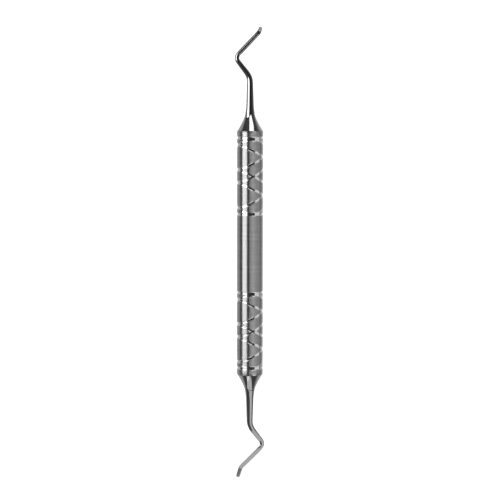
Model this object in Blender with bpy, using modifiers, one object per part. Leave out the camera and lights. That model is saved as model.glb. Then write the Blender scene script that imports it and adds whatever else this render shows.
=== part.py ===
"""A double-ended dental hand scaler, in metres, +Z up.

A hollow grooved handle lies along X. A turned ferrule is pressed into each end of it, and each ferrule
holds the tang of a forged working end: a tapered shank with two knees and a small blade. The two working
ends are the two hands of a pair, so one blade has its flat face up and the other has it down.

The origin is on the handle's underside, halfway along it. Run it in Blender's text editor, or with
blender --background --python part.py
"""

import math

import bmesh
import bpy
from mathutils import Matrix, Vector

MM = 0.001

# Handle
HANDLE_LENGTH = 94.8 * MM
HANDLE_RADIUS = 5.0 * MM
HANDLE_WALL = 0.9 * MM
EDGE_CHAMFER = 0.25 * MM
AXIS_HEIGHT = HANDLE_RADIUS  # the lowest facet lies on z = 0
ROUND_STEPS = 36  # facets round every turned piece, whose radii are to the middle of a facet

# Grip zones, one on each side of the plain middle band
ZONE_CENTRE = 30.0 * MM
ZONE_HALF_LENGTH = 14.75 * MM  # to the straight ring groove at each end of the zone
GROOVE_WIDTH = 0.95 * MM
GROOVE_DEPTH = 0.2 * MM
RING_SWING = 2.4 * MM  # how far a slanted ring leaves its own middle, each way
RING_START = math.radians(15)  # where round the handle all the slanted rings are lined up
RINGS_LEANING_BACK = (9.8 * MM, 0.0, -5.0 * MM)
RINGS_LEANING_FORWARD = (5.0 * MM, 0.0, -10.0 * MM)
OUTER_WAVE = 11.7 * MM
INNER_WAVE = -11.9 * MM
GROOVE_STEPS = 36
GROOVE_STAGGER = 0.1  # of a step, from one ring to the next, so that crossing rings share no corner

# Fits between the pressed pieces
FIT_GAP = 0.3 * MM
SPIGOT_LENGTH = 7.0 * MM
TANG_RADIUS = 1.2 * MM
TANG_LENGTH = 10.0 * MM

# Ferrules, both alike
CONE_LENGTH = 5.85 * MM
CONE_TIP_RADIUS = 1.97 * MM
CONE_BASE_RADIUS = HANDLE_RADIUS - EDGE_CHAMFER
CONE_CURVE = 1.25  # 1 would be a straight flank
CONE_STEPS = 9
LIP_ROUNDING = 0.2 * MM

# Working ends, from the shoulder outwards. Each station is (distance from the handle's middle, offset
# sideways, height over the handle's axis, bend radius, width, thickness, share of blade section), in mm.
SHOULDER_RADIUS = 1.92 * MM
SHANK = (
    (54.5, 0.0, 0.0, 0.0, 3.6, 3.6, 0.0),
    (55.4, 0.0, 0.0, 0.0, 3.3, 3.3, 0.0),
    (56.6, 0.0, 0.0, 0.0, 3.03, 3.03, 0.0),
    (58.5, 0.0, 0.0, 0.0, 2.9, 2.9, 0.0),
    (68.07, 0.0, 0.0, 6.5, 2.27, 2.27, 0.0),
)
UPPER_BLADE = (
    (75.54, 5.75, 0.0, 2.4, 1.75, 1.65, 0.2),
    (78.0, 3.4, 0.0, 0.0, 1.85, 1.25, 1.0),
    (85.1, -3.36, 0.0, 1.8, 1.76, 1.0, 1.0),
    (86.85, -4.1, -2.1, 0.0, 1.4, 0.6, 1.0),
    (87.1, -4.2, -2.35, 0.0, 1.0, 0.4, 1.0),
)
UPPER_FACE_UP = -1  # its flat face looks down
LOWER_BLADE = (
    (75.19, 5.59, 0.0, 2.4, 1.76, 1.65, 0.2),
    (77.6, 3.2, 0.0, 0.0, 1.72, 1.25, 1.0),
    (84.3, -3.49, 0.0, 2.4, 1.68, 1.0, 1.0),
    (87.65, -4.62, 1.3, 0.0, 1.5, 0.6, 1.0),
    (88.0, -4.73, 1.43, 0.0, 1.03, 0.4, 1.0),
)
LOWER_FACE_UP = 1
UPPER_FACE_TURN = 0.0  # about the blade's own length
LOWER_FACE_TURN = math.radians(9)
SECTION_POINTS = 16
BEND_STEP = math.radians(8)

# The blade's section in a square of half width 1: (direction of a side's normal, its distance out).
# The flat face is at 90 degrees. Behind it the back is a middle flat with a bevel on each side.
BEVEL_SLOPE = math.sqrt(2) - 1  # half width of the back's middle flat
BEVEL_NORMAL = math.atan2(1 - BEVEL_SLOPE, 1)
BLADE_SIDES = (
    (0.0, 1.0),
    (math.pi / 2, 1.0),
    (math.pi, 1.0),
    (-math.pi / 2, 1.0),
    (-BEVEL_NORMAL, math.cos(BEVEL_NORMAL)),
    (math.pi + BEVEL_NORMAL, math.cos(BEVEL_NORMAL)),
)

OBJECT_NAME = "hand_scaler"


def clear_scene():
    for obj in list(bpy.data.objects):
        bpy.data.objects.remove(obj)


def new_collection(name):
    collection = bpy.data.collections.new(name)
    bpy.context.scene.collection.children.link(collection)
    return collection


def steel(name, grey, roughness):
    material = bpy.data.materials.new(name)
    material.use_nodes = True
    shader = material.node_tree.nodes["Principled BSDF"]
    shader.inputs["Base Color"].default_value = (grey, grey, grey, 1)
    shader.inputs["Metallic"].default_value = 1.0
    shader.inputs["Roughness"].default_value = roughness
    return material


def turned(name, profile, collection):
    """A closed profile of (distance along X, radius) turned about the handle's axis.

    The profile's outer side runs from high x to low x, which turns its faces outwards.
    """
    mesh = bpy.data.meshes.new(name)
    shape = bmesh.new()
    to_corner = 1 / math.cos(math.pi / ROUND_STEPS)
    points = [shape.verts.new((x, 0, radius * to_corner)) for x, radius in profile]
    for here, following in zip(points, points[1:] + points[:1]):
        shape.edges.new((here, following))
    shape.to_mesh(mesh)
    shape.free()
    obj = bpy.data.objects.new(name, mesh)
    collection.objects.link(obj)
    obj.location.z = AXIS_HEIGHT
    obj.rotation_euler.x = math.pi / ROUND_STEPS  # brings the middle of a facet to the bottom
    screw = obj.modifiers.new("turn", "SCREW")
    screw.axis = "X"
    screw.steps = ROUND_STEPS
    screw.render_steps = ROUND_STEPS
    screw.use_merge_vertices = True
    screw.merge_threshold = 1e-6
    return obj


def as_mesh(obj, collection):
    """Replaces an object by a mesh of what it evaluates to, with its loose ends joined."""
    bpy.context.view_layer.update()
    graph = bpy.context.evaluated_depsgraph_get()
    mesh = bpy.data.meshes.new_from_object(obj.evaluated_get(graph))
    shape = bmesh.new()
    shape.from_mesh(mesh)
    bmesh.ops.remove_doubles(shape, verts=shape.verts, dist=1e-7)
    bmesh.ops.recalc_face_normals(shape, faces=shape.faces)
    shape.to_mesh(mesh)
    shape.free()
    name = obj.name
    placed = obj.matrix_world.copy()
    bpy.data.objects.remove(obj)
    made = bpy.data.objects.new(name, mesh)
    made.matrix_world = placed
    collection.objects.link(made)
    return made


def smooth(obj, sharp_degrees=40):
    obj.data.shade_smooth()
    obj.data.set_sharp_from_angle(angle=math.radians(sharp_degrees))


# Handle


def straight_groove(x):
    """The points of one straight ring groove in the handle's outline, from high x to low x."""
    half = GROOVE_WIDTH / 2
    return [
        (x + half, HANDLE_RADIUS),
        (x + half * 0.6, HANDLE_RADIUS - GROOVE_DEPTH * 0.75),
        (x, HANDLE_RADIUS - GROOVE_DEPTH),
        (x - half * 0.6, HANDLE_RADIUS - GROOVE_DEPTH * 0.75),
        (x - half, HANDLE_RADIUS),
    ]


def handle_profile():
    end = HANDLE_LENGTH / 2
    bore = HANDLE_RADIUS - HANDLE_WALL
    profile = [(end, HANDLE_RADIUS - EDGE_CHAMFER), (end - EDGE_CHAMFER, HANDLE_RADIUS)]
    for zone in (ZONE_CENTRE, -ZONE_CENTRE):
        profile += straight_groove(zone + ZONE_HALF_LENGTH)
        profile += straight_groove(zone - ZONE_HALF_LENGTH)
    profile += [(-end + EDGE_CHAMFER, HANDLE_RADIUS), (-end, HANDLE_RADIUS - EDGE_CHAMFER)]
    profile += [(-end, bore), (end, bore)]
    return profile


def groove_ring(name, path, stagger, collection):
    """A cutter for one slanted groove: a round bar bent into a ring, whose x follows path(angle)."""
    half = GROOVE_WIDTH / 2
    bar_radius = (half**2 + GROOVE_DEPTH**2) / (2 * GROOVE_DEPTH)
    ring_radius = HANDLE_RADIUS + bar_radius - GROOVE_DEPTH
    curve = bpy.data.curves.new(name, "CURVE")
    curve.dimensions = "3D"
    curve.bevel_depth = bar_radius
    curve.bevel_resolution = 1
    spline = curve.splines.new("POLY")
    spline.points.add(GROOVE_STEPS - 1)
    spline.use_cyclic_u = True
    for i, point in enumerate(spline.points):
        angle = math.tau * (i + stagger) / GROOVE_STEPS
        across = -ring_radius * math.sin(angle)
        height = AXIS_HEIGHT + ring_radius * math.cos(angle)
        point.co = (path(angle), across, height, 1)
    obj = bpy.data.objects.new(name, curve)
    collection.objects.link(obj)
    cutter = as_mesh(obj, collection)
    cutter.hide_render = True
    cutter.display_type = "WIRE"
    return cutter


def slanted_paths():
    """For each slanted groove of one zone, its distance from the zone's centre at an angle."""

    def ring(middle, swing, quarter_turns=0):
        start = RING_START - quarter_turns * math.pi / 2
        return lambda angle: middle + swing * math.sin(angle - start)

    paths = [ring(middle, -RING_SWING) for middle in RINGS_LEANING_BACK]
    paths += [ring(middle, RING_SWING) for middle in RINGS_LEANING_FORWARD]
    paths.append(ring(OUTER_WAVE, RING_SWING, 1))
    paths.append(ring(INNER_WAVE, -RING_SWING, 1))
    return paths


def make_handle(parts, cutters, material):
    handle = as_mesh(turned("handle_tube", handle_profile(), parts), parts)
    handle.data.materials.append(material)
    for side, zone in (("upper", ZONE_CENTRE), ("lower", -ZONE_CENTRE)):
        for number, path in enumerate(slanted_paths(), 1):
            cutter = groove_ring(
                f"{side}_groove_{number}",
                lambda angle, path=path, zone=zone: zone + path(angle),
                number * GROOVE_STAGGER,
                cutters,
            )
            cut = handle.modifiers.new(cutter.name, "BOOLEAN")
            cut.operation = "DIFFERENCE"
            cut.solver = "EXACT"
            cut.object = cutter
    smooth(handle)


# Ferrules


def cone_profile():
    """The outline of a ferrule that points to +X: its flank, spigot and bore."""
    base = HANDLE_LENGTH / 2 + FIT_GAP
    tip = base + CONE_LENGTH
    bore = TANG_RADIUS + FIT_GAP
    spigot = HANDLE_RADIUS - HANDLE_WALL - FIT_GAP
    profile = [(tip, bore), (tip, CONE_TIP_RADIUS - LIP_ROUNDING)]
    profile += [(tip - LIP_ROUNDING * 0.3, CONE_TIP_RADIUS - LIP_ROUNDING * 0.3)]
    flank_start = tip - LIP_ROUNDING
    flank_length = flank_start - base
    for i in range(CONE_STEPS + 1):
        share = i / CONE_STEPS
        radius = CONE_TIP_RADIUS + (CONE_BASE_RADIUS - CONE_TIP_RADIUS) * share**CONE_CURVE
        profile.append((flank_start - flank_length * share, radius))
    profile += [(base, spigot), (base - SPIGOT_LENGTH, spigot), (base - SPIGOT_LENGTH, bore)]
    return profile


def make_cone(name, sign, parts, material):
    profile = cone_profile()
    if sign < 0:
        profile = [(-x, radius) for x, radius in reversed(profile)]
    cone = as_mesh(turned(name, profile, parts), parts)
    cone.data.materials.append(material)
    smooth(cone)


# Working ends


def section(width, thickness, blade_share, face_turn=0.0):
    """(sideways, upwards) points round a section between a circle and the blade's outline."""
    points = []
    for i in range(SECTION_POINTS):
        angle = math.tau * i / SECTION_POINTS
        reach = min(
            distance / math.cos(angle - normal)
            for normal, distance in BLADE_SIDES
            if math.cos(angle - normal) > 0.01
        )
        radius = 1 + (reach - 1) * blade_share
        point = Vector((radius * math.cos(angle) * width / 2, radius * math.sin(angle) * thickness / 2))
        points.append(Matrix.Rotation(face_turn * blade_share, 2) @ point)
    return points


def bend(corner, before, after, radius):
    """(place, direction) along an arc that rounds the corner between two directions."""
    turn = before.angle(after)
    if radius == 0 or turn < 1e-6:
        return [(corner, (before + after).normalized())]
    inward = (after - before * before.dot(after)).normalized()
    start = corner - before * radius * math.tan(turn / 2)
    steps = math.ceil(turn / BEND_STEP)
    arc = []
    for i in range(steps + 1):
        angle = turn * i / steps
        place = start + before * radius * math.sin(angle) + inward * radius * (1 - math.cos(angle))
        arc.append((place, before * math.cos(angle) + inward * math.sin(angle)))
    return arc


def ring_points(place, direction, outline, face_up):
    sideways = direction.cross(Vector((0, 0, 1))).normalized()
    upwards = sideways.cross(direction) * face_up
    return [place + sideways * a + upwards * b for a, b in outline]


def working_end_rings(blade, face_up, face_turn):
    """The rings of points from the tang's inner end to the toe, for an end that points to +X."""
    stations = SHANK + blade
    shoulder = HANDLE_LENGTH / 2 + CONE_LENGTH + 2 * FIT_GAP
    middle = Vector((0, 0, AXIS_HEIGHT))
    along = Vector((1, 0, 0))
    rings = []
    for x, radius in (
        (shoulder - TANG_LENGTH, TANG_RADIUS),
        (shoulder, TANG_RADIUS),
        (shoulder, SHOULDER_RADIUS),
    ):
        outline = section(2 * radius, 2 * radius, 0)
        rings.append(ring_points(middle + along * x, along, outline, face_up))
    corners = [middle + Vector(station[:3]) * MM for station in stations]
    legs = [(b - a).normalized() for a, b in zip(corners, corners[1:])]
    before = [along] + legs
    after = legs + [legs[-1]]
    for corner, station, came, goes in zip(corners, stations, before, after):
        radius, width, thickness, blade_share = station[3:]
        outline = section(width * MM, thickness * MM, blade_share, face_turn)
        for place, direction in bend(corner, came, goes, radius * MM):
            rings.append(ring_points(place, direction, outline, face_up))
    return rings


def make_working_end(name, sign, rings, parts, material):
    """Skins the rings. The end on the other side of the handle is turned half a turn about Z."""
    shape = bmesh.new()
    skin = []
    for ring in rings:
        skin.append([shape.verts.new((sign * p.x, sign * p.y, p.z)) for p in ring])
    for here, following in zip(skin, skin[1:]):
        for i in range(SECTION_POINTS):
            j = (i + 1) % SECTION_POINTS
            shape.faces.new((here[i], here[j], following[j], following[i]))
    shape.faces.new(skin[0])
    shape.faces.new(skin[-1])
    bmesh.ops.recalc_face_normals(shape, faces=shape.faces)
    mesh = bpy.data.meshes.new(name)
    shape.to_mesh(mesh)
    shape.free()
    end = bpy.data.objects.new(name, mesh)
    parts.objects.link(end)
    mesh.materials.append(material)
    smooth(end)


def main():
    clear_scene()
    parts = new_collection(OBJECT_NAME)
    cutters = new_collection("cutters")
    brushed = steel("brushed_steel", 0.55, 0.3)
    polished = steel("polished_steel", 0.6, 0.12)
    make_handle(parts, cutters, brushed)
    make_cone("upper_cone", 1, parts, polished)
    make_cone("lower_cone", -1, parts, polished)
    upper_rings = working_end_rings(UPPER_BLADE, UPPER_FACE_UP, UPPER_FACE_TURN)
    lower_rings = working_end_rings(LOWER_BLADE, LOWER_FACE_UP, LOWER_FACE_TURN)
    make_working_end("upper_working_end", 1, upper_rings, parts, polished)
    make_working_end("lower_working_end", -1, lower_rings, parts, polished)


main()
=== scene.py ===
"""The looks of a double-ended dental hand scaler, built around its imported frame.

Every piece is a finely sampled copy of a CAD solid: the engraved handle tube, the two ferrules that
are pressed into it, and the two forged working ends. Lengths are in metres, in the frame's axes.
"""

import math

import bpy
import numpy as np
from mathutils import Matrix, Vector


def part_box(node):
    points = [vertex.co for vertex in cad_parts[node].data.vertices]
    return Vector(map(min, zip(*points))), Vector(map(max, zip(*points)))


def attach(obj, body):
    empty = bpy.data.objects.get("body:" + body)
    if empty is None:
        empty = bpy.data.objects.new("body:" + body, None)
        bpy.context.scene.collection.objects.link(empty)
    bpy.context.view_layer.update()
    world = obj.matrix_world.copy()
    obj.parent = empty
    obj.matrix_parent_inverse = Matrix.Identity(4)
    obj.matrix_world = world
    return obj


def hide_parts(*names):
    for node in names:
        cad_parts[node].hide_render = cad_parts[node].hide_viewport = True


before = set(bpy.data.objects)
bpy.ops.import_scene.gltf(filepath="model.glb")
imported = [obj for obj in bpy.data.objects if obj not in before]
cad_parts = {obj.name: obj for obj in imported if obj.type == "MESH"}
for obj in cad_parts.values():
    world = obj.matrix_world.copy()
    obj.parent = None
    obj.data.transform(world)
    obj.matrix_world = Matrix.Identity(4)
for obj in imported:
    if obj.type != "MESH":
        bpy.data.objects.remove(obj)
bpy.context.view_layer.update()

MM = 0.001
BODY = "root"

# The handle, from the frame
HANDLE_LOW, HANDLE_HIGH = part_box("handle_tube")
HANDLE_MIDDLE = (HANDLE_LOW.x + HANDLE_HIGH.x) / 2
FIT_GAP = 0.3 * MM
SEAM = 0.04 * MM
HALF_LENGTH = (HANDLE_HIGH.x - HANDLE_LOW.x + FIT_GAP - SEAM) / 2  # closes its half of the gap
HANDLE_RADIUS = (HANDLE_HIGH.z - HANDLE_LOW.z) / 2
AXIS_HEIGHT = (HANDLE_HIGH.z + HANDLE_LOW.z) / 2
HANDLE_WALL = 0.9 * MM
EDGE_CHAMFER = 0.22 * MM

# The grip zones. The grooves follow those of the CAD handle, with walls that slope instead of drop.
ZONE_CENTRES = (-30.0 * MM, 30.0 * MM)
ZONE_HALF_LENGTH = 14.75 * MM
GROOVE_HALF_WIDTH = 0.54 * MM
GROOVE_FLOOR_SHARE = 0.72  # of the half width, flat at full depth
GROOVE_DEPTH = 0.2 * MM
POLISHED_DEPTH = GROOVE_DEPTH / 4  # from here down a groove is bright
RING_SWING = 2.4 * MM
RING_START = math.radians(15)
RINGS_LEANING_BACK = (9.8 * MM, 0.0, -5.0 * MM)
RINGS_LEANING_FORWARD = (5.0 * MM, 0.0, -10.0 * MM)
OUTER_WAVE = 11.7 * MM
INNER_WAVE = -11.9 * MM
ROUND_STEPS = 216
ZONE_RINGS = 200
ZONE_SAMPLES = 3000  # for placing the rings
WALL_CROWDING = 14.0  # how much closer together the mesh's rings are along the grooves' walls
PLAIN_STEP = 1.5 * MM
HANDLE_SHARP_ANGLE = 60  # in degrees; the walls of the grooves stay smooth below it

# The ferrules, from the frame, and their fits
CONE_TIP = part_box("upper_cone")[1].x + (FIT_GAP - SEAM) / 2
SPIGOT_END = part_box("upper_cone")[0].x
CONE_TIP_RADIUS = 1.97 * MM
CONE_CURVE = 1.25  # 1 is a straight flank, more is a hollow one
CONE_ROUND_STEPS = 128
FLANK_STEPS = 39
LIP_STEPS = 6
LIP_ROUNDING = 0.25 * MM
SPIGOT_CHAMFER = 0.3 * MM
TANG_RADIUS = 1.2 * MM
TANG_CHAMFER = 0.3 * MM

# The working ends' stations, which repeat the CAD ones: (distance from the handle's middle, offset
# sideways, height over the handle's axis, bend radius, width, thickness, share of the blade's
# section), in millimetres
SHOULDER_RADIUS = 1.92 * MM
SHOULDER_CHAMFER = 0.1 * MM
SHANK = (
    (54.5, 0.0, 0.0, 0.0, 3.6, 3.6, 0.0),
    (55.4, 0.0, 0.0, 0.0, 3.3, 3.3, 0.0),
    (56.6, 0.0, 0.0, 0.0, 3.03, 3.03, 0.0),
    (58.5, 0.0, 0.0, 0.0, 2.9, 2.9, 0.0),
    (68.07, 0.0, 0.0, 6.5, 2.27, 2.27, 0.0),
)
UPPER_BLADE = (
    (75.54, 5.75, 0.0, 2.4, 1.75, 1.65, 0.2),
    (78.0, 3.4, 0.0, 0.0, 1.85, 1.25, 1.0),
    (85.1, -3.36, 0.0, 1.8, 1.76, 1.0, 1.0),
    (86.85, -4.1, -2.1, 0.0, 1.4, 0.6, 1.0),
    (87.1, -4.2, -2.35, 0.0, 1.0, 0.4, 1.0),
)
UPPER_FACE_UP = -1
LOWER_BLADE = (
    (75.19, 5.59, 0.0, 2.4, 1.76, 1.65, 0.2),
    (77.6, 3.2, 0.0, 0.0, 1.72, 1.25, 1.0),
    (84.3, -3.49, 0.0, 2.4, 1.68, 1.0, 1.0),
    (87.65, -4.62, 1.3, 0.0, 1.5, 0.6, 1.0),
    (88.0, -4.73, 1.43, 0.0, 1.03, 0.4, 1.0),
)
LOWER_FACE_UP = 1
UPPER_FACE_TURN = 0.0  # about the blade's own length
LOWER_FACE_TURN = math.radians(9)
SECTION_POINTS = 64
PATH_STEP = 0.25 * MM
BEND_STEP = math.radians(3)
SIZE_SMOOTHING = 0.5 * MM
INSIDE_CAD = 0.99  # keeps the finer mesh inside the CAD solid's box
CORNER_SHARPNESS = 16  # higher makes the blade's edges crisper
STRAIGHT_TURN = 1e-6  # corners that turn less than this have no bend

# The blade's section in a square of half width 1: a flat face, two sides, and two bevels that start
# halfway down and narrow it to its back. Each is (the direction of its normal, its distance out).
BACK_HALF_WIDTH = math.sqrt(2) - 1
BEVEL_NORMAL = math.atan2(1 - BACK_HALF_WIDTH, 1)
BLADE_SIDES = (
    (0.0, 1.0),
    (math.pi / 2, 1.0),
    (math.pi, 1.0),
    (-math.pi / 2, 1.0),
    (-BEVEL_NORMAL, math.cos(BEVEL_NORMAL)),
    (math.pi + BEVEL_NORMAL, math.cos(BEVEL_NORMAL)),
)

# The camera: almost straight above, leaning towards the upper end, far away with a long lens
CAMERA_DISTANCE = 0.9
CAMERA_LEAN = math.radians(6.2)
CAMERA_ROLL = math.radians(0.066)
CAMERA_TARGET = (1.17 * MM, -0.05 * MM)
CAMERA_RANGE = (0.01, 20)  # nearest and farthest
FRAME_WIDTH = 193.8 * MM
SENSOR_WIDTH = 36.0

# The studio: its brightness by the angle from straight up towards -Y, in degrees, and the tone it
# darkens to in directions that point along the handle
STUDIO_TONES = (
    (-179, 0.5),
    (-140, 0.5),
    (-105, 0.34),
    (-96, 0.06),
    (-80, 0.05),
    (-25, 0.08),
    (0, 0.02),
    (40, 0.03),
    (60, 0.06),
    (86, 0.07),
    (99, 0.1),
    (108, 0.19),
    (116, 0.28),
    (126, 0.42),
    (140, 0.5),
    (179, 0.5),
)
END_TONE = 0.06
END_DARKENING = (0.72, 0.88)  # of a direction's X, where it starts and where it is complete

# The directions of the lights over the handle, in degrees from straight up towards -Y
KEY_ANGLE = -49
SPINE_ANGLE = 19
SIDE_ANGLE = 72
CARD_DISTANCE = 1.2

STAGE_RADIUS = 4.0
FLOOR_GREY = 0.8
FLOOR_GLOW = 0.97


# Node helpers


class Nodes:
    """Adds shader nodes to one tree and links them, with short calls."""

    def __init__(self, tree):
        self.tree = tree

    def add(self, kind, settings=None, **inputs):
        """Adds a node. Its inputs are set by name, with _ for a space, or by number, as in i0."""
        node = self.tree.nodes.new("ShaderNode" + kind)
        for name, value in (settings or {}).items():
            setattr(node, name, value)
        for name, value in inputs.items():
            key = int(name[1:]) if name[1:].isdigit() else name.replace("_", " ")
            self.feed(node.inputs[key], value)
        return node

    def feed(self, socket, value):
        if isinstance(value, bpy.types.Node):
            value = value.outputs[0]
        if isinstance(value, bpy.types.NodeSocket):
            self.tree.links.new(value, socket)
        else:
            socket.default_value = value

    def math(self, operation, a, b=0.0):
        return self.add("Math", {"operation": operation}, i0=a, i1=b)

    def ramp(self, value, low, high):
        """0 at low and 1 at high, and flat beyond them."""
        return self.add("MapRange", Value=value, From_Min=low, From_Max=high).outputs[0]

    def mix(self, share, a, b):
        """a where share is 0 and b where it is 1."""
        return self.math("ADD", a, self.math("MULTIPLY", share, self.math("SUBTRACT", b, a)))

    def noise(self, vector, scale, detail):
        noise = self.add("TexNoise", Vector=vector, Scale=scale, Detail=detail, Roughness=0.55)
        return noise.outputs[0]

    def stretched(self, vector, x, y, z):
        scaled = self.add("VectorMath", {"operation": "MULTIPLY"}, i0=vector, i1=(x, y, z))
        return scaled.outputs[0]

    def grey(self, value):
        return self.add("CombineColor", Red=value, Green=value, Blue=value)


def new_material(name):
    """A metal: its material, node helper and shader, and object coordinates in millimetres."""
    material = bpy.data.materials.new(name)
    material.use_nodes = True
    nodes = Nodes(material.node_tree)
    shader = material.node_tree.nodes["Principled BSDF"]
    shader.inputs["Metallic"].default_value = 1.0
    place = nodes.add("TexCoord").outputs["Object"]
    millimetres = nodes.stretched(place, 1 / MM, 1 / MM, 1 / MM)
    return material, nodes, shader, millimetres


# Materials


def brushed_steel():
    """Turned and brushed round the handle, with the engraved grooves left bright."""
    material, nodes, shader, place = new_material("brushed_steel")
    # Both textures change quickly along X and slowly round it, as turning marks do
    fine = nodes.noise(nodes.stretched(place, 7.0, 0.35, 0.35), 1.0, 3.0)
    streak = nodes.noise(nodes.stretched(place, 1.1, 0.12, 0.12), 1.0, 2.0)
    groove = nodes.add("Attribute", {"attribute_name": "groove"}).outputs["Fac"]
    grey = nodes.mix(streak, 0.42, 0.7)
    grey = nodes.mix(fine, grey, nodes.math("MULTIPLY", grey, 0.8))
    nodes.feed(shader.inputs["Base Color"], nodes.grey(nodes.mix(groove, grey, 0.92)))
    brushed = nodes.mix(streak, 0.28, 0.44)
    nodes.feed(shader.inputs["Roughness"], nodes.mix(groove, brushed, 0.06))
    shader.inputs["Anisotropic"].default_value = 0.95
    shader.inputs["Anisotropic Rotation"].default_value = 0.25
    tangent = nodes.add("Tangent", {"direction_type": "RADIAL", "axis": "X"})
    nodes.feed(shader.inputs["Tangent"], tangent)
    height = nodes.math("MULTIPLY", fine, nodes.math("SUBTRACT", 1.0, groove))
    bump = nodes.add("Bump", Strength=0.25, Distance=0.004 * MM, Height=height)
    nodes.feed(shader.inputs["Normal"], bump)
    return material


def polished_steel():
    """Mirror-polished, with faint polishing lines and a very slight unevenness."""
    material, nodes, shader, place = new_material("polished_steel")
    lines = nodes.noise(nodes.stretched(place, 5.0, 0.5, 0.5), 1.0, 3.0)
    haze = nodes.noise(place, 0.8, 2.0)
    nodes.feed(shader.inputs["Base Color"], nodes.grey(nodes.mix(haze, 0.6, 0.66)))
    nodes.feed(shader.inputs["Roughness"], nodes.mix(lines, 0.05, 0.12))
    bump = nodes.add("Bump", Strength=0.15, Distance=0.004 * MM, Height=lines)
    nodes.feed(shader.inputs["Normal"], bump)
    return material


def blade_steel():
    """Polished along the shank, and ground to a satin on the blade."""
    material, nodes, shader, place = new_material("blade_steel")
    blade = nodes.add("Attribute", {"attribute_name": "blade"}).outputs["Fac"]
    lines = nodes.noise(nodes.stretched(place, 1.0, 1.0, 6.0), 4.0, 3.0)
    haze = nodes.noise(place, 0.8, 2.0)
    nodes.feed(shader.inputs["Base Color"], nodes.grey(nodes.mix(haze, 0.6, 0.66)))
    polished = nodes.mix(lines, 0.05, 0.11)
    ground = nodes.mix(lines, 0.12, 0.2)
    nodes.feed(shader.inputs["Roughness"], nodes.mix(blade, polished, ground))
    height = nodes.math("MULTIPLY", lines, nodes.mix(blade, 0.3, 0.6))
    bump = nodes.add("Bump", Strength=0.1, Distance=0.005 * MM, Height=height)
    nodes.feed(shader.inputs["Normal"], bump)
    return material


# Meshes


def grid_mesh(name, rings, material, closed_along=False, attribute=None, sharp_angle=35):
    """Skins equal rings of points. A skin that isn't closed along the rings gets two flat caps.

    attribute is (name, value for each point), and edges over sharp_angle degrees are creased.
    """
    rings = np.asarray(rings, float)
    count, around = rings.shape[:2]
    index = np.arange(count * around).reshape(count, around)
    faces = []
    for i in range(count if closed_along else count - 1):
        here, following = index[i], index[(i + 1) % count]
        quads = np.stack([here, np.roll(here, -1), np.roll(following, -1), following], 1)
        faces += quads.tolist()
    if not closed_along:
        faces += [index[0][::-1].tolist(), index[-1].tolist()]
    mesh = bpy.data.meshes.new(name)
    mesh.from_pydata(rings.reshape(-1, 3).tolist(), [], faces)
    mesh.materials.append(material)
    if attribute:
        layer = mesh.attributes.new(attribute[0], "FLOAT", "POINT")
        layer.data.foreach_set("value", np.asarray(attribute[1], np.float32).ravel())
    mesh.shade_smooth()
    mesh.set_sharp_from_angle(angle=math.radians(sharp_angle))
    mesh.validate()
    piece = bpy.data.objects.new(name, mesh)
    bpy.context.scene.collection.objects.link(piece)
    return piece


def show(piece, node):
    """Hands a piece to the frame in place of its CAD node."""
    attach(piece, BODY)
    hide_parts(node)


def turned_points(profile, around):
    """Rings about the handle's axis for (x, radius) pairs. Either may differ round the ring."""
    angles = np.arange(around) * math.tau / around
    rings = []
    for x, radius in profile:
        radius = np.broadcast_to(radius, around)
        across = -radius * np.sin(angles)
        height = AXIS_HEIGHT + radius * np.cos(angles)
        rings.append(np.stack([np.broadcast_to(x, around), across, height], 1))
    return rings


# The handle


def ring_paths(angles):
    """(x from the zone's centre, slope) of each groove of a zone, at angles round the handle."""
    paths = []
    for middles, swing, start in (
        (RINGS_LEANING_BACK, -RING_SWING, RING_START),
        (RINGS_LEANING_FORWARD, RING_SWING, RING_START),
        ((OUTER_WAVE,), RING_SWING, RING_START - math.pi / 2),
        ((INNER_WAVE,), -RING_SWING, RING_START - math.pi / 2),
    ):
        for middle in middles:
            along = middle + swing * np.sin(angles - start)
            paths.append((along, swing * np.cos(angles - start) / HANDLE_RADIUS))
    for end in (ZONE_HALF_LENGTH, -ZONE_HALF_LENGTH):
        paths.append((np.full_like(angles, end), np.zeros_like(angles)))
    return paths


def groove_depths(x, paths):
    """The engraving's depth at distances from a zone's centre, for each angle of the paths."""
    share = np.zeros_like(x)
    for along, slope in paths:
        distance = np.abs(x - along) / np.sqrt(1 + slope**2)
        wall = np.clip((1 - distance / GROOVE_HALF_WIDTH) / (1 - GROOVE_FLOOR_SHARE), 0, 1)
        share = np.maximum(share, wall**2 * (3 - 2 * wall))
    return GROOVE_DEPTH * share


def zone_rings(paths):
    """Distances from a zone's centre, with a row for each ring. The rings crowd along the walls."""
    reach = ZONE_HALF_LENGTH + 2 * GROOVE_HALF_WIDTH
    scale = np.linspace(-reach, reach, ZONE_SAMPLES)
    shares = np.linspace(0, 1, ZONE_RINGS)
    wall_middle = GROOVE_HALF_WIDTH * (1 + GROOVE_FLOOR_SHARE) / 2
    wall_width = GROOVE_HALF_WIDTH * (1 - GROOVE_FLOOR_SHARE)
    columns = []
    for j in range(ROUND_STEPS):
        crowding = np.ones_like(scale)
        for along, slope in paths:
            distance = np.abs(scale - along[j]) / math.sqrt(1 + slope[j] ** 2)
            off_wall = (distance - wall_middle) / wall_width
            crowding += WALL_CROWDING * np.exp(-(off_wall**2))
        total = np.concatenate([[0], np.cumsum((crowding[1:] + crowding[:-1]) / 2)])
        columns.append(np.interp(shares * total[-1], total, scale))
    return np.array(columns).T


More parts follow.
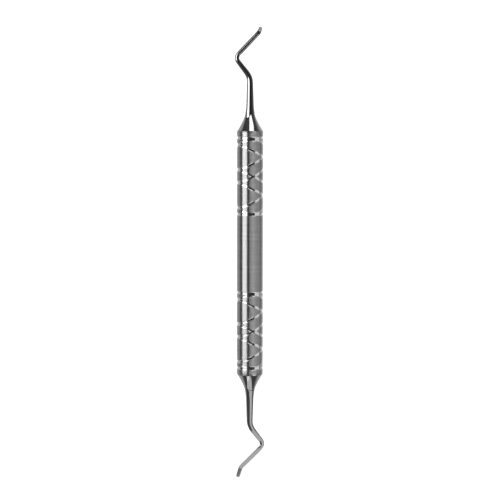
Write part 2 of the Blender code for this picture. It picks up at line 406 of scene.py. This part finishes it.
def make_handle(material):
    angles = np.arange(ROUND_STEPS) * math.tau / ROUND_STEPS
    paths = ring_paths(angles)
    zone = zone_rings(paths)
    zone_depths = groove_depths(zone, paths)
    plain_end = HALF_LENGTH - EDGE_CHAMFER
    # (distance from the handle's middle, depth under its surface), from one end to the other
    profile = [(-HALF_LENGTH, HANDLE_WALL), (-HALF_LENGTH, EDGE_CHAMFER), (-plain_end, 0)]
    done = -plain_end
    for centre in ZONE_CENTRES:
        start, end = centre + zone[0, 0], centre + zone[-1, 0]
        steps = round((start - done) / PLAIN_STEP)
        profile += [(x, 0) for x in np.linspace(done, start, steps + 1)[1:-1]]
        profile += zip(centre + zone, zone_depths)
        done = end
    steps = round((plain_end - done) / PLAIN_STEP)
    profile += [(x, 0) for x in np.linspace(done, plain_end, steps + 1)[1:]]
    profile += [(HALF_LENGTH, EDGE_CHAMFER), (HALF_LENGTH, HANDLE_WALL)]
    points = [(HANDLE_MIDDLE + x, HANDLE_RADIUS - depth) for x, depth in profile]
    depths = np.array([np.broadcast_to(depth, ROUND_STEPS) for x, depth in profile])
    polish = np.clip(depths / POLISHED_DEPTH, 0, 1)
    polish[:2] = polish[-2:] = 0  # the tube's ends are no grooves
    rings = turned_points(points, ROUND_STEPS)
    tube = grid_mesh("handle", rings, material, True, ("groove", polish), HANDLE_SHARP_ANGLE)
    show(tube, "handle_tube")
    return tube


# The ferrules


def cone_profile():
    """(x, radius) round the section of the ferrule that points to +X, from its inner end out."""
    base = HALF_LENGTH + SEAM
    base_radius = HANDLE_RADIUS - EDGE_CHAMFER
    spigot = HANDLE_RADIUS - HANDLE_WALL - SEAM
    bore = TANG_RADIUS + SEAM
    profile = [(SPIGOT_END, bore), (SPIGOT_END, spigot - SPIGOT_CHAMFER)]
    profile += [(SPIGOT_END + SPIGOT_CHAMFER, spigot), (base, spigot), (base, base_radius)]
    flank_end = CONE_TIP - LIP_ROUNDING
    for share in np.linspace(1, 0, FLANK_STEPS + 1)[1:]:
        radius = CONE_TIP_RADIUS + (base_radius - CONE_TIP_RADIUS) * share**CONE_CURVE
        profile.append((flank_end - (flank_end - base) * share, radius))
    for turn in np.linspace(0, math.pi / 2, LIP_STEPS + 1)[1:]:
        radius = CONE_TIP_RADIUS - LIP_ROUNDING * (1 - math.cos(turn))
        profile.append((flank_end + LIP_ROUNDING * math.sin(turn), radius))
    profile.append((CONE_TIP, bore))
    return profile


def make_cone(name, node, sign, material):
    profile = [(sign * x, radius) for x, radius in cone_profile()]
    if sign < 0:
        profile.reverse()
    cone = grid_mesh(name, turned_points(profile, CONE_ROUND_STEPS), material, True)
    show(cone, node)
    return cone


# The working ends


def section(width, thickness, blade_share, face_turn):
    """(sideways, upwards) points round a section between a circle and the blade's outline."""
    angles = np.arange(SECTION_POINTS) * math.tau / SECTION_POINTS
    closeness = [
        np.maximum(np.cos(angles - normal), 0) / distance for normal, distance in BLADE_SIDES
    ]
    reach = np.sum(np.power(closeness, CORNER_SHARPNESS), 0) ** (-1 / CORNER_SHARPNESS)
    radius = INSIDE_CAD * (1 + (reach - 1) * blade_share)
    across = radius * np.cos(angles) * width / 2
    through = radius * np.sin(angles) * thickness / 2
    turn = face_turn * blade_share
    turned_across = across * math.cos(turn) - through * math.sin(turn)
    turned_through = across * math.sin(turn) + through * math.cos(turn)
    return np.stack([turned_across, turned_through], 1)


def rounded_path(corners, bend_radii):
    """Points and directions along a line with rounded corners, and each corner's distance."""
    legs = [(b - a).normalized() for a, b in zip(corners, corners[1:])]
    places, directions, marks = [corners[0]], [legs[0]], [0.0]
    travelled = 0.0

    def go_to(place, direction):
        nonlocal travelled
        start = places[-1]
        step = place - start
        count = max(1, math.ceil(step.length / PATH_STEP))
        for i in range(1, count + 1):
            places.append(start + step * (i / count))
            directions.append(direction)
        travelled += step.length

    for corner, before, after, radius in zip(corners[1:], legs, legs[1:], bend_radii[1:]):
        turn = before.angle(after)
        if radius == 0 or turn < STRAIGHT_TURN:
            go_to(corner, before)
            marks.append(travelled)
            continue
        reach = radius * math.tan(turn / 2)
        go_to(corner - before * reach, before)
        start = places[-1].copy()
        inward = (after - before * before.dot(after)).normalized()
        steps = math.ceil(turn / BEND_STEP)
        marks.append(travelled + radius * turn / 2)
        for i in range(1, steps + 1):
            angle = turn * i / steps
            offset = before * math.sin(angle) + inward * (1 - math.cos(angle))
            places.append(start + offset * radius)
            directions.append(before * math.cos(angle) + inward * math.sin(angle))
        travelled += radius * turn
    go_to(corners[-1], legs[-1])
    marks.append(travelled)
    return places, directions, marks


def smoothed(values, distances):
    """Values along the path, each averaged with its neighbours within about SIZE_SMOOTHING."""
    apart = (distances[:, None] - distances[None, :]) / SIZE_SMOOTHING
    weights = np.exp(-0.5 * apart**2)
    spacing = np.gradient(distances)
    weights *= np.maximum(spacing, 1e-9)[None, :]
    result = weights @ values / weights.sum(1)
    result[0], result[-1] = values[0], values[-1]
    return result


def working_end_rings(blade, face_up, face_turn):
    """The rings of points from the tang's inner end to the toe, for an end that points to +X."""
    shoulder = CONE_TIP + SEAM
    shoulder_size = 2 * SHOULDER_RADIUS / MM
    middle = Vector((0, 0, AXIS_HEIGHT))
    stations = ((shoulder / MM, 0, 0, 0, shoulder_size, shoulder_size, 0), *SHANK, *blade)
    corners = [middle + Vector(station[:3]) * MM for station in stations]
    places, directions, marks = rounded_path(corners, [station[3] * MM for station in stations])
    steps = [0.0] + [(b - a).length for a, b in zip(places, places[1:])]
    distances = np.cumsum(steps)
    marks = np.array(marks) * distances[-1] / marks[-1]  # the steps cut the bends a little short
    widths, thicknesses, shares = (
        smoothed(np.interp(distances, marks, [station[k] for station in stations]), distances)
        for k in (4, 5, 6)
    )
    rings, blades = [], []

    def add_ring(place, direction, width, thickness, share):
        sideways = direction.cross(Vector((0, 0, 1))).normalized()
        upwards = sideways.cross(direction) * face_up
        outline = section(width, thickness, share, face_turn)
        ring = np.array(place) + outline @ np.array([sideways, upwards])
        rings.append(ring if face_up > 0 else ring[::-1])
        blades.append(np.full(SECTION_POINTS, share))

    along = Vector((1, 0, 0))
    tang_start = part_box("upper_working_end")[0].x
    for x, radius in (
        (tang_start, TANG_RADIUS - TANG_CHAMFER),
        (tang_start + TANG_CHAMFER, TANG_RADIUS),
        (shoulder, TANG_RADIUS),
        (shoulder, SHOULDER_RADIUS - SHOULDER_CHAMFER),
    ):
        add_ring(middle + along * x, along, 2 * radius, 2 * radius, 0)
    for place, direction, width, thickness, share in zip(
        places, directions, widths, thicknesses, shares
    ):
        add_ring(place, direction, width * MM, thickness * MM, share)
    return np.array(rings), np.array(blades)


def make_working_end(name, node, sign, rings_and_blades, material):
    """The end at the handle's -X side, with sign -1, is turned half a turn about Z."""
    rings, blades = rings_and_blades
    rings = rings * np.array([sign, sign, 1])
    end = grid_mesh(name, rings[:, ::-1], material, False, ("blade", blades))
    show(end, node)
    return end


# The studio


def softbox(name, towards, size, radiance, pieces=(), slide=(0, 0), spin=0, distance=CARD_DISTANCE):
    """A rectangular light of some radiance, at a distance in a direction, facing back along it.

    It is then slid in X and Y, and spun about its own axis in degrees. It lights only the pieces it
    is given, and everything where it is given none.
    """
    width, height = size
    light = bpy.data.lights.new(name, "AREA")
    light.shape = "RECTANGLE"
    light.size = width
    light.size_y = height
    light.energy = radiance * math.pi * width * height
    box = bpy.data.objects.new(name, light)
    direction = Vector(towards).normalized()
    box.location = direction * distance + Vector((*slide, 0))
    facing = direction.to_track_quat("Z", "Y").to_matrix()
    box.rotation_euler = (facing @ Matrix.Rotation(math.radians(spin), 3, "Z")).to_euler()
    box.visible_camera = False
    bpy.context.scene.collection.objects.link(box)
    if pieces:
        receivers = bpy.data.collections.new(name + "_receivers")
        for piece in pieces:
            receivers.objects.link(piece)
        box.light_linking.receiver_collection = receivers


def from_above(degrees):
    """The direction at an angle from straight up towards -Y, square to the handle."""
    return (0, -math.sin(math.radians(degrees)), math.cos(math.radians(degrees)))


def make_world():
    """A dim studio: dark overhead and beyond the handle's ends, with a lighter table below."""
    world = bpy.data.worlds.new("studio")
    bpy.context.scene.world = world
    world.use_nodes = True
    nodes = Nodes(world.node_tree)
    way = nodes.add("SeparateXYZ", Vector=nodes.add("TexCoord").outputs["Generated"])
    x, y, z = way.outputs
    angle = nodes.math("ARCTAN2", nodes.math("MULTIPLY", y, -1.0), z)
    turn = nodes.ramp(angle, -math.pi, math.pi)
    tones = nodes.add("ValToRGB", Fac=turn)
    stops = tones.color_ramp.elements
    for degrees, tone in STUDIO_TONES:
        stop = stops.new((degrees + 180) / 360)
        stop.color = (tone, tone, tone, 1)
    stops.remove(stops[-1])
    stops.remove(stops[0])
    beyond = nodes.ramp(nodes.math("ABSOLUTE", x), *END_DARKENING)
    background = world.node_tree.nodes["Background"]
    nodes.feed(background.inputs["Color"], nodes.grey(nodes.mix(beyond, tones, END_TONE)))


def make_lights(handle, ferrules, ends):
    """One big softbox at the upper left lights everything. Each card lights only its own pieces."""
    key, spine, side = from_above(KEY_ANGLE), from_above(SPINE_ANGLE), from_above(SIDE_ANGLE)
    softbox("key_light", key, (0.95, 0.92), 3.2, slide=(0.32, 0))

    softbox("handle_key_card", key, (0.5, 0.92), 0.8, [handle], (-0.41, 0))
    softbox("upper_spine_card", spine, (0.3, 1.0), 1.6, [handle], (0.26, 0))
    softbox("lower_spine_card", spine, (0.3, 1.0), 1.75, [handle], (-0.54, 0))
    softbox("side_card", side, (0.95, 1.2), 0.53, [handle], (-0.13, 0))
    softbox("upper_rim_card", (0.86, -0.5, 0.32), (0.6, 0.6), 1.7, [handle])
    softbox("lower_rim_card", (-0.86, -0.5, 0.32), (0.6, 0.6), 1.7, [handle])

    upper_ferrule, lower_ferrule = ferrules
    upper_end, lower_end = ends
    softbox(
        "upper_ferrule_card", (0.69, -0.21, 0.69), (1.0, 1.15), 1.8, [upper_ferrule], distance=1.5
    )
    softbox(
        "lower_end_card",
        (0, 0, 1),
        (2.25, 1.06),
        0.58,
        [lower_ferrule, lower_end],
        slide=(-0.753, -0.178),
        spin=-47.7,
        distance=0.5,
    )
    softbox("lower_low_card", (-0.95, 0.2, 0.2), (0.3, 0.4), 0.5, [lower_ferrule])
    softbox("left_bevel_card", (0.66, 0.68, 0.32), (0.6, 0.6), 0.5, [upper_end])
    softbox("right_bevel_card", (-0.68, -0.66, 0.32), (0.8, 0.8), 0.9, [upper_end])
    softbox("toe_card", (0.9, -0.4, -0.03), (0.5, 0.5), 0.7, [upper_end])


def make_floor():
    """A white floor with a dome round it. Neither shows in the metal, which reflects the studio."""
    material = bpy.data.materials.new("white_floor")
    material.use_nodes = True
    shader = material.node_tree.nodes["Principled BSDF"]
    shader.inputs["Base Color"].default_value = (FLOOR_GREY, FLOOR_GREY, FLOOR_GREY, 1)
    shader.inputs["Roughness"].default_value = 1.0
    shader.inputs["Specular IOR Level"].default_value = 0.0
    shader.inputs["Emission Color"].default_value = (1, 1, 1, 1)
    shader.inputs["Emission Strength"].default_value = FLOOR_GLOW
    bpy.ops.mesh.primitive_circle_add(vertices=96, radius=STAGE_RADIUS, fill_type="NGON")
    floor = bpy.context.object
    floor.name = "floor"
    floor.data.materials.append(material)
    floor.visible_glossy = False
    floor.visible_shadow = False

    material = bpy.data.materials.new("white_backdrop")
    material.use_nodes = True
    nodes = Nodes(material.node_tree)
    glow = nodes.add("Emission", Color=(1, 1, 1, 1), Strength=1.0)
    output = material.node_tree.nodes["Material Output"]
    nodes.feed(output.inputs["Surface"], glow)
    bpy.ops.mesh.primitive_uv_sphere_add(segments=48, ring_count=24, radius=STAGE_RADIUS)
    dome = bpy.context.object
    dome.name = "backdrop"
    dome.data.materials.append(material)
    dome.visible_glossy = False
    dome.visible_diffuse = False
    dome.visible_shadow = False


def make_camera():
    data = bpy.data.cameras.new("camera")
    data.sensor_width = SENSOR_WIDTH
    data.lens = SENSOR_WIDTH * CAMERA_DISTANCE / FRAME_WIDTH
    data.clip_start, data.clip_end = CAMERA_RANGE
    camera = bpy.data.objects.new("camera", data)
    bpy.context.scene.collection.objects.link(camera)
    bpy.context.scene.camera = camera
    back = Vector((math.sin(CAMERA_LEAN), 0, math.cos(CAMERA_LEAN)))
    right = Vector((0, -1, 0))
    facing = Matrix((right, back.cross(right), back)).transposed()
    target = Vector((*CAMERA_TARGET, AXIS_HEIGHT))
    turn = facing @ Matrix.Rotation(CAMERA_ROLL, 3, "Z")
    camera.matrix_world = Matrix.Translation(target + back * CAMERA_DISTANCE) @ turn.to_4x4()
    bpy.context.scene.view_settings.view_transform = "Standard"


make_camera()
handle = make_handle(brushed_steel())
ferrule_steel = polished_steel()
end_steel = blade_steel()
upper_rings = working_end_rings(UPPER_BLADE, UPPER_FACE_UP, UPPER_FACE_TURN)
lower_rings = working_end_rings(LOWER_BLADE, LOWER_FACE_UP, LOWER_FACE_TURN)
ferrules = (
    make_cone("upper_ferrule", "upper_cone", 1, ferrule_steel),
    make_cone("lower_ferrule", "lower_cone", -1, ferrule_steel),
)
ends = (
    make_working_end("upper_scaler_end", "upper_working_end", 1, upper_rings, end_steel),
    make_working_end("lower_scaler_end", "lower_working_end", -1, lower_rings, end_steel),
)
make_world()
make_lights(handle, ferrules, ends)
make_floor()
